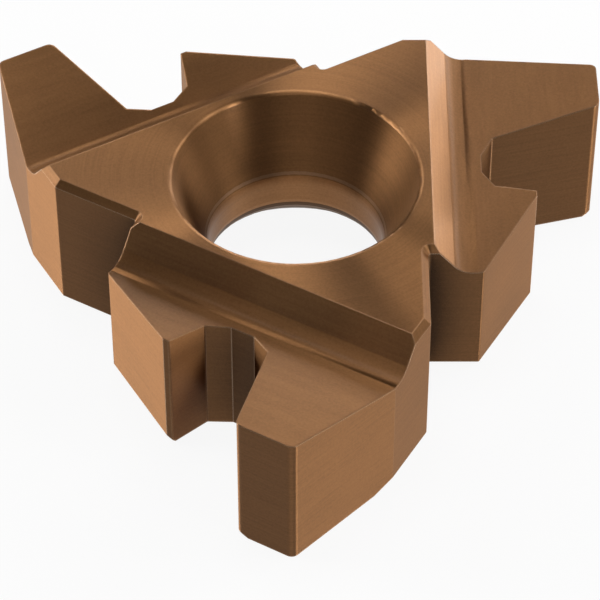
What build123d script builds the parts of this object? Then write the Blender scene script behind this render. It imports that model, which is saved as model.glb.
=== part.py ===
from build123d import *
from math import radians, tan
import os

# Laydown threading insert of cemented carbide, in millimetres.
# It lies flat on Z = 0 with its screw bore on the Z axis.
# Corner one cuts towards -Y, its chip groove runs along X, and the other corners are turned copies.

# Blank: a pressed triangle, chamfered round its top and bottom edges
inscribed_circle = 12.7
thickness = 4.95
edge_chamfer = 0.2
corner_rounding = 0.1
corner_count = 3

# Relief notch in each side: its seat and end faces, measured from the bore axis
notch_seat = 3.86
notch_end = 3.15
notch_rounding = 0.1

# Ground form of one corner: the main tooth, then the gap, then the lead tooth on the blank's side.
# Each reach is measured outwards from the bore axis.
main_tooth_centre = 4.365
main_crest_width = 1.85
main_crest_reach = 9.295
flank_angle = 15.0
gap_width = 2.11
gap_reach = 5.99
gap_floor_width = 0.76
gap_floor_reach = 5.625
lead_crest_reach = 7.215
lead_flank_angle = 20.0
crest_rounding = 0.25
edge_hone = 0.05

# Chip groove: a steep wall, a round floor and a rake face that rises to the cutting edge
groove_edge = 4.045
groove_wall_angle = 50.0
groove_floor_radius = 0.75
rake_angle = 10.0
cutting_edge_height = 4.67

# Screw bore: a rounded rim, a cone for the screw head, a throat and a flare at the seating face
rim_radius = 3.725
rim_rounding = 0.15
head_cone_angle = 21.8
throat_radius = 2.65
throat_blend = 0.75
flare_depth = 1.13
flare_angle = 45.0

# How far cutting shapes run past the metal that they cut
overrun = 1.0


def each_corner(shape):
    """A copy of the shape at each corner of the insert."""
    return [Rot(0, 0, 360 / corner_count * index) * shape for index in range(corner_count)]


def blank():
    """The pressed triangle with its notches, its rims chamfered and its upright corners rounded."""
    side_reach = inscribed_circle / 2
    outline = RegularPolygon(side_reach, corner_count, major_radius=False, rotation=180 / corner_count)
    notch_middle = Pos(-notch_end - side_reach / 2, -notch_seat - side_reach / 2)
    outline -= each_corner(notch_middle * Rectangle(side_reach, side_reach))
    outline = fillet(outline.vertices().sort_by_distance((0, 0))[:corner_count], notch_rounding)
    body = extrude(outline, thickness)
    levels = body.edges().group_by(Axis.Z)
    body = chamfer(levels[0] + levels[-1], edge_chamfer)
    uprights = body.edges().filter_by(Axis.Z).sort_by_distance((0, 0, thickness / 2))
    return fillet(uprights[2 * corner_count : -corner_count], corner_rounding)


def ground_form():
    """What grinding takes off one corner, seen from above."""
    side_reach = inscribed_circle / 2
    flank_slope = tan(radians(flank_angle))
    lead_slope = tan(radians(lead_flank_angle))
    crest_left = main_tooth_centre - main_crest_width / 2
    crest_right = main_tooth_centre + main_crest_width / 2
    outside = side_reach + overrun
    main_foot = crest_left - flank_slope * (main_crest_reach - gap_reach)
    lead_foot = main_foot - gap_width
    lead_tip = lead_foot - lead_slope * (lead_crest_reach - gap_reach)
    gap_middle = main_foot - gap_width / 2
    outline = Polyline(
        (outside, -main_crest_reach + (outside - crest_right) / flank_slope),
        (crest_right, -main_crest_reach),
        (crest_left, -main_crest_reach),
        (main_foot, -gap_reach),
        (gap_middle + gap_floor_width / 2, -gap_floor_reach),
        (gap_middle - gap_floor_width / 2, -gap_floor_reach),
        (lead_foot, -gap_reach),
        (lead_tip, -lead_crest_reach),
        (-inscribed_circle, -lead_crest_reach),
        (-inscribed_circle, -inscribed_circle),
        (outside, -inscribed_circle),
        close=True,
    )
    area = make_face(outline)
    crests = [(crest_left, -main_crest_reach), (crest_right, -main_crest_reach)]
    honed = [(main_foot, -gap_reach), (lead_foot, -gap_reach), (lead_tip, -lead_crest_reach)]
    for points, radius in ((crests, crest_rounding), (honed, edge_hone)):
        for point in points:
            area = fillet(area.vertices().sort_by_distance(point)[0], radius)
    return extrude(Pos(0, 0, -overrun) * area, thickness + 2 * overrun)


def chip_groove():
    """The chip groove of one corner: its upright section, run along the whole side."""
    wall_slope = tan(radians(groove_wall_angle))
    rake_slope = tan(radians(rake_angle))
    wall_start = thickness + wall_slope * groove_edge
    rake_start = cutting_edge_height - rake_slope * main_crest_reach
    foot = (wall_start - rake_start) / (wall_slope + rake_slope)
    foot_height = rake_start + rake_slope * foot
    top = thickness + overrun
    outline = Polyline(
        ((wall_start - top) / wall_slope, top),
        (foot, foot_height),
        (inscribed_circle, rake_start + rake_slope * inscribed_circle),
        (inscribed_circle, top),
        close=True,
    )
    section = make_face(outline)
    section = fillet(section.vertices().sort_by_distance((foot, foot_height))[0], groove_floor_radius)
    across_groove = Plane(origin=(0, 0, 0), x_dir=(0, -1, 0), z_dir=(-1, 0, 0))
    return extrude(across_groove * section, inscribed_circle, both=True)


def screw_bore():
    """The screw bore as one turned shape, from the flare at the seating face up to the rim."""
    cone_depth = (rim_radius - throat_radius) / tan(radians(head_cone_angle))
    flare_radius = throat_radius + flare_depth * tan(radians(flare_angle))
    throat_foot = (throat_radius, flare_depth)
    throat_top = (throat_radius, thickness - cone_depth)
    outline = Polyline(
        (0, 0),
        (flare_radius, 0),
        throat_foot,
        throat_top,
        (rim_radius, thickness),
        (0, thickness),
        close=True,
    )
    section = make_face(outline)
    for point in (throat_foot, throat_top):
        section = fillet(section.vertices().sort_by_distance(point)[0], throat_blend)
    return revolve(Plane.XZ * section, Axis.Z)


def threading_insert():
    """The finished insert: blank, ground corners, chip grooves and bore with a rounded rim."""
    body = blank()
    for cutter in each_corner(ground_form()) + each_corner(chip_groove()):
        body -= cutter
    body -= screw_bore()
    rim = body.edges().filter_by(GeomType.CIRCLE).group_by(Axis.Z)[-1].sort_by(SortBy.RADIUS)[-1]
    return fillet(rim, rim_rounding)


os.makedirs("parts", exist_ok=True)
export_step(threading_insert(), "parts/threading_insert.step")
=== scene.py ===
from math import atan, cos, pi, radians, sin

import bpy
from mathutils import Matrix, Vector

# A carbide threading insert under a satin bronze coating, on a pale studio floor.
# All lengths are in metres, and the part keeps the frame of its CAD model.
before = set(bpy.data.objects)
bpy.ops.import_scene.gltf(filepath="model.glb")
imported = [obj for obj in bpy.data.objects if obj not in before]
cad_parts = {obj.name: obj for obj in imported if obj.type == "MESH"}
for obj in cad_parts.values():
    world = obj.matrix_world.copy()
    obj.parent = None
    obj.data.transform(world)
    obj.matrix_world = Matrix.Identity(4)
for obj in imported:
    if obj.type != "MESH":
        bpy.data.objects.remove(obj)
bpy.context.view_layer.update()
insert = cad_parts["threading_insert"]
MILLIMETRE = 0.001

# Camera: the photograph's viewing angle and framing. The lens distance is in pixels of the photograph.
camera_azimuth = radians(29.99)
camera_elevation = radians(45.26)
camera_distance = 97.08 * MILLIMETRE
camera_target = Vector((0.20, -0.08, -0.17)) * MILLIMETRE
camera_reach = 10
photo_width = 600
lens_distance = 3146.6

# Studio light: soft panels around the part. Each has a bearing from straight behind the part as the
# camera sees it, a height angle, a width and height, and the brightness of its face.
panel_distance = 120 * MILLIMETRE
panels = {
    "left_panel": dict(bearing=-80, height_angle=24, width=46, height=44, brightness=7.8),
    "left_back_panel": dict(bearing=-60, height_angle=24, width=36, height=44, brightness=3.6),
    "back_high_panel": dict(bearing=-21, height_angle=38, width=28, height=32, brightness=5.0),
    "back_panel": dict(bearing=5, height_angle=24, width=36, height=30, brightness=8.8),
    "right_low_panel": dict(bearing=38, height_angle=8, width=50, height=30, brightness=7.0),
    "right_back_panel": dict(bearing=62, height_angle=24, width=50, height=44, brightness=4.4),
    "right_high_panel": dict(bearing=85, height_angle=44, width=50, height=46, brightness=2.8),
    "right_panel": dict(bearing=103, height_angle=42, width=50, height=46, brightness=2.4),
    "right_strip_panel": dict(bearing=126, height_angle=10, width=16, height=36, brightness=18.0),
    "front_panel": dict(bearing=180, height_angle=35, width=70, height=40, brightness=1.2),
    "overhead_panel": dict(bearing=-28, height_angle=79, width=44, height=44, brightness=5.2),
}
room_brightness = 0.07

# Floor: pale, with most of its brightness its own so that it reads white
floor_reach = 2.0
floor_colour = (0.86, 0.86, 0.86, 1)
floor_glow = 0.91

# Coating colours: a satin bronze brown between two tones, and a pale tone for the painted edge highlights,
# partly wear
bronze = (0.38, 0.183, 0.074, 1)
bronze_dark = (0.28, 0.136, 0.055, 1)
bronze_wear_and_highlight = (0.95, 0.7, 0.5, 1)

# Where a finish applies. The slope is 1 on a level face and 0 on an upright one.
level_limit = 0.996
wall_limit = 0.66
upright_limit = 0.05
cone_slope = 0.371
cone_spread = 0.03
bore_reach = 3.9 * MILLIMETRE
throat_foot = 1.33 * MILLIMETRE

# Fine grain, soft clouds and grinding marks, each a noise with its waves per metre and its share of
# the tone. The marks are long in one direction and close together across it.
grain_scale = 14000.0
grain_share = 0.4
cloud_scale = 350.0
cloud_share = 0.25
mark_scale_along = 300
mark_scale_across = 16000
mark_share = 0.35
tone_low = 0.38
tone_high = 0.62
bump_strength = 0.15
bump_height = 0.003 * MILLIMETRE

# Painted shade: darker colour in the gaps between the teeth, on the cone of the bore and at the foot of
# its throat.
# A gap's floor is found as an upright face that looks outwards with little open air before it.
recess_shade = 0.12
recess_reach = 2.5 * MILLIMETRE
recess_open_air = 0.5
outward_start = 0.4
outward_full = 0.6
cone_shade = 0.8
foot_shade = 0.3

# How many rays the painted shade of the gap floors and the painted edge highlights are found with
search_rays = 8

# Painted highlight on edges, partly wear: bright on upright edges, faint on the others and on the ring
# where cone meets throat
edge_radius = 0.07 * MILLIMETRE
edge_match_start = 0.998
edge_match_full = 0.94
edge_upright_limit = 0.3
other_edge_wear_and_highlight = 0.1
throat_edge_radius = 2.735 * MILLIMETRE
throat_edge_width = 0.02 * MILLIMETRE
throat_edge_highlight = 0.12

# Gloss: how rough each kind of face is, and the weight and roughness of the clear film over them
side_roughness = 0.55
ground_roughness = 0.5
wall_roughness = 0.32
cone_roughness = 0.6
throat_roughness = 0.35
roughness_spread = 0.08
coating_anisotropy = 1.0
gloss_weight = 0.08
wall_gloss_weight = 0.4
gloss_roughness = 0.2


def bearing_direction(bearing, height_angle):
    """Unit direction at a bearing to the right of straight behind the part, and an angle above level."""
    turned = camera_azimuth - bearing
    level = Vector((-sin(turned), cos(turned), 0))
    return level * cos(height_angle) + Vector((0, 0, sin(height_angle)))


def add_panel(name, bearing, height_angle, width, height, brightness):
    """A soft rectangular lamp that faces the part, out of the camera's sight."""
    direction = bearing_direction(radians(bearing), radians(height_angle))
    lamp = bpy.data.lights.new(name, "AREA")
    lamp.shape = "RECTANGLE"
    lamp.size = width * MILLIMETRE
    lamp.size_y = height * MILLIMETRE
    lamp.energy = brightness * pi * lamp.size * lamp.size_y
    panel = bpy.data.objects.new(name, lamp)
    panel.location = direction * panel_distance
    panel.rotation_euler = direction.to_track_quat("Z", "Y").to_euler()
    panel.visible_camera = False
    bpy.context.scene.collection.objects.link(panel)


def add_camera():
    """The camera at the photograph's viewing angle."""
    sight = -bearing_direction(pi, camera_elevation)
    camera = bpy.data.objects.new("camera", bpy.data.cameras.new("camera"))
    camera.location = camera_target - sight * camera_distance
    camera.rotation_euler = sight.to_track_quat("-Z", "Y").to_euler()
    camera.data.angle = 2 * atan(photo_width / 2 / lens_distance)
    camera.data.clip_start = MILLIMETRE
    camera.data.clip_end = camera_reach
    bpy.context.scene.collection.objects.link(camera)
    bpy.context.scene.camera = camera


class Nodes:
    """Short calls to add and join the nodes of one material."""

    def __init__(self, material):
        material.use_nodes = True
        self.tree = material.node_tree
        self.tree.nodes.clear()

    def add(self, kind, settings=None, **inputs):
        """A new node with its settings and inputs, named or numbered; one that is a socket is joined."""
        node = self.tree.nodes.new("ShaderNode" + kind)
        for key, value in (settings or {}).items():
            setattr(node, key, value)
        for key, value in inputs.items():
            socket = node.inputs[int(key[1:])] if key[0] == "_" else node.inputs[key.replace("_", " ")]
            if isinstance(value, bpy.types.NodeSocket):
                self.tree.links.new(value, socket)
            else:
                socket.default_value = value
        return node

    def math(self, operation, a, b=0.0, clamp=False):
        """Arithmetic on one or two numbers."""
        return self.add("Math", {"operation": operation, "use_clamp": clamp}, _0=a, _1=b).outputs[0]

    def vector(self, operation, a, b=(0, 0, 0)):
        """Arithmetic on one or two vectors, which gives a vector."""
        return self.add("VectorMath", {"operation": operation}, _0=a, _1=b).outputs[0]

    def measure(self, operation, a, b=(0, 0, 0)):
        """The length of a vector or the dot product of two."""
        return self.add("VectorMath", {"operation": operation}, _0=a, _1=b).outputs["Value"]

    def up(self, vector):
        """The upward part of a vector."""
        return self.add("SeparateXYZ", Vector=vector).outputs["Z"]

    def ramp(self, value, **limits):
        """The value mapped from one range to another, from 0 to 1 where none is given."""
        return self.add("MapRange", Value=value, **limits).outputs[0]

    def near(self, value, middle, spread):
        """1 where the value lies within the spread of the middle."""
        return self.math("LESS_THAN", self.math("ABSOLUTE", self.math("SUBTRACT", value, middle)), spread)

    def noise(self, place, scale, **detail):
        """A noise pattern with so many waves per metre."""
        return self.add("TexNoise", Vector=place, Scale=scale, **detail).outputs["Fac"]

    def choose(self, mask, outside, inside):
        """One number where the mask is 0 and another where it is 1."""
        return self.add("Mix", _0=mask, _2=outside, _3=inside).outputs[0]

    def choose_vector(self, mask, outside, inside):
        """One vector where the mask is 0 and another where it is 1."""
        return self.add("Mix", {"data_type": "VECTOR"}, _0=mask, _4=outside, _5=inside).outputs[1]

    def blend(self, share, first, second):
        """A colour between two others."""
        return self.add("Mix", {"data_type": "RGBA"}, Factor=share, _6=first, _7=second).outputs[2]

    def output(self, shader):
        """Gives the material its surface."""
        self.add("OutputMaterial", Surface=shader)


def coating_material():
    """Satin bronze: circular grinding on level faces, level grinding on the rest, painted highlights on
    upright edges.
    """
    material = bpy.data.materials.new("bronze_coating")
    n = Nodes(material)
    place = n.add("TexCoord").outputs["Object"]
    normal = n.add("NewGeometry").outputs["Normal"]
    radial = n.vector("MULTIPLY", place, (1, 1, 0))
    radius = n.measure("LENGTH", radial)

    # Kinds of face, each 1 where it applies
    slope = n.math("ABSOLUTE", n.up(normal))
    level = n.math("GREATER_THAN", slope, level_limit)
    wall = n.math("LESS_THAN", slope, wall_limit)
    upright = n.math("LESS_THAN", slope, upright_limit)
    bore = n.math("SUBTRACT", n.math("LESS_THAN", radius, bore_reach), level, clamp=True)
    cone = n.near(slope, cone_slope, cone_spread)
    foot = n.math("LESS_THAN", n.up(place), throat_foot)
    groove_wall = n.math("SUBTRACT", n.math("SUBTRACT", wall, upright), bore, clamp=True)
    outward = n.measure("DOT_PRODUCT", n.vector("NORMALIZE", radial), normal)
    outward = n.ramp(outward, From_Min=outward_start, From_Max=outward_full)

    # Body colour: grain, clouds and grinding marks, which run in rings on level faces
    grain = n.noise(place, grain_scale, Detail=4.0, Roughness=0.6)
    cloud = n.noise(place, cloud_scale, Detail=3.0)
    straight = n.vector("MULTIPLY", place, (mark_scale_along, mark_scale_along, mark_scale_across))
    across = n.add("CombineXYZ", X=n.math("MULTIPLY", radius, mark_scale_across)).outputs[0]
    rings = n.vector("ADD", across, n.vector("MULTIPLY", place, (mark_scale_along, mark_scale_along, 0)))
    marks = n.noise(n.choose_vector(level, straight, rings), 1.0, Detail=3.0, Roughness=0.7)
    tone = n.math("ADD", n.math("MULTIPLY", grain, grain_share), n.math("MULTIPLY", cloud, cloud_share))
    tone = n.math("ADD", tone, n.math("MULTIPLY", marks, mark_share))
    body = n.blend(n.ramp(tone, From_Min=tone_low, From_Max=tone_high), bronze_dark, bronze)

    # Painted shade in the gaps, on the bore's cone and at the foot of its throat
    air = {"samples": search_rays, "only_local": True}
    air = n.add("AmbientOcclusion", air, Distance=recess_reach).outputs["AO"]
    shade = n.ramp(air, From_Min=recess_open_air, From_Max=1.0, To_Min=recess_shade, To_Max=1.0)
    shade = n.choose(n.math("MULTIPLY", upright, outward), 1.0, shade)
    shade = n.choose(n.math("MULTIPLY", bore, cone), shade, cone_shade)
    shade = n.choose(n.math("MULTIPLY", bore, foot), shade, foot_shade)
    body = n.vector("MULTIPLY", body, n.add("CombineXYZ", X=shade, Y=shade, Z=shade).outputs[0])

    # Painted edge highlights, partly wear, found where the rounded normal leaves the face's own
    rounded = n.add("Bevel", {"samples": search_rays}, Radius=edge_radius).outputs[0]
    match = n.measure("DOT_PRODUCT", rounded, normal)
    wear_and_highlight = n.ramp(match, From_Min=edge_match_start, From_Max=edge_match_full)
    upright_edge = n.math("LESS_THAN", n.math("ABSOLUTE", n.up(rounded)), edge_upright_limit)
    wear_and_highlight = n.math("MULTIPLY", wear_and_highlight, n.choose(upright_edge, other_edge_wear_and_highlight, 1.0))
    # A painted highlight on the ring where the cone meets the throat.
    throat_edge = n.math("MULTIPLY", bore, n.near(radius, throat_edge_radius, throat_edge_width))
    wear_and_highlight = n.math("MAXIMUM", wear_and_highlight, n.math("MULTIPLY", throat_edge, throat_edge_highlight))

    # Gloss, with the highlights spread across the grinding
    outside = n.choose(upright, n.choose(wall, ground_roughness, wall_roughness), side_roughness)
    inside = n.choose(cone, throat_roughness, cone_roughness)
    unevenness = n.math("MULTIPLY", n.math("SUBTRACT", cloud, 0.5), roughness_spread)
    relief = n.math("ADD", grain, marks)
    bump = n.add("Bump", Strength=bump_strength, Distance=bump_height, Height=relief, Normal=rounded)
    shader = n.add(
        "BsdfPrincipled",
        # The base colour carries the painted edge highlights, partly wear.
        Base_Color=n.blend(wear_and_highlight, body, bronze_wear_and_highlight),
        Metallic=1.0,
        Roughness=n.math("ADD", n.choose(bore, outside, inside), unevenness),
        Anisotropic=coating_anisotropy,
        Tangent=n.choose_vector(level, (0, 0, 1), radial),
        Coat_Weight=n.choose(groove_wall, gloss_weight, wall_gloss_weight),
        Coat_Roughness=gloss_roughness,
        Coat_Normal=rounded,
        Normal=bump.outputs[0],
    )
    n.output(shader.outputs[0])
    return material


def floor_material():
    """A pale matt floor that shows the same near-white to the camera and in the metal."""
    material = bpy.data.materials.new("studio_floor")
    n = Nodes(material)
    path = n.add("LightPath").outputs
    seen = n.math("MAXIMUM", path["Is Camera Ray"], path["Is Glossy Ray"])
    seen = n.math("MAXIMUM", seen, path["Is Transmission Ray"])
    matt = n.add("BsdfDiffuse", Color=floor_colour).outputs[0]
    glow = n.add("Emission", Color=(1, 1, 1, 1), Strength=1.0).outputs[0]
    n.output(n.add("MixShader", _0=n.math("MULTIPLY", seen, floor_glow), _1=matt, _2=glow).outputs[0])
    return material


def add_floor():
    """The plain floor under the part."""
    mesh = bpy.data.meshes.new("floor")
    corners = [(x * floor_reach, y * floor_reach, 0) for x, y in ((-1, -1), (1, -1), (1, 1), (-1, 1))]
    mesh.from_pydata(corners, [], [(0, 1, 2, 3)])
    mesh.materials.append(floor_material())
    floor = bpy.data.objects.new("floor", mesh)
    bpy.context.scene.collection.objects.link(floor)


def set_world():
    """A dim even room around the panels."""
    world = bpy.data.worlds.new("room")
    world.use_nodes = True
    world.node_tree.nodes["Background"].inputs["Color"].default_value = (1, 1, 1, 1)
    world.node_tree.nodes["Background"].inputs["Strength"].default_value = room_brightness
    bpy.context.scene.world = world


insert.data.materials.clear()
insert.data.materials.append(coating_material())
add_floor()
set_world()
for panel_name, values in panels.items():
    add_panel(panel_name, **values)
add_camera()
bpy.context.scene.view_settings.view_transform = "Standard"
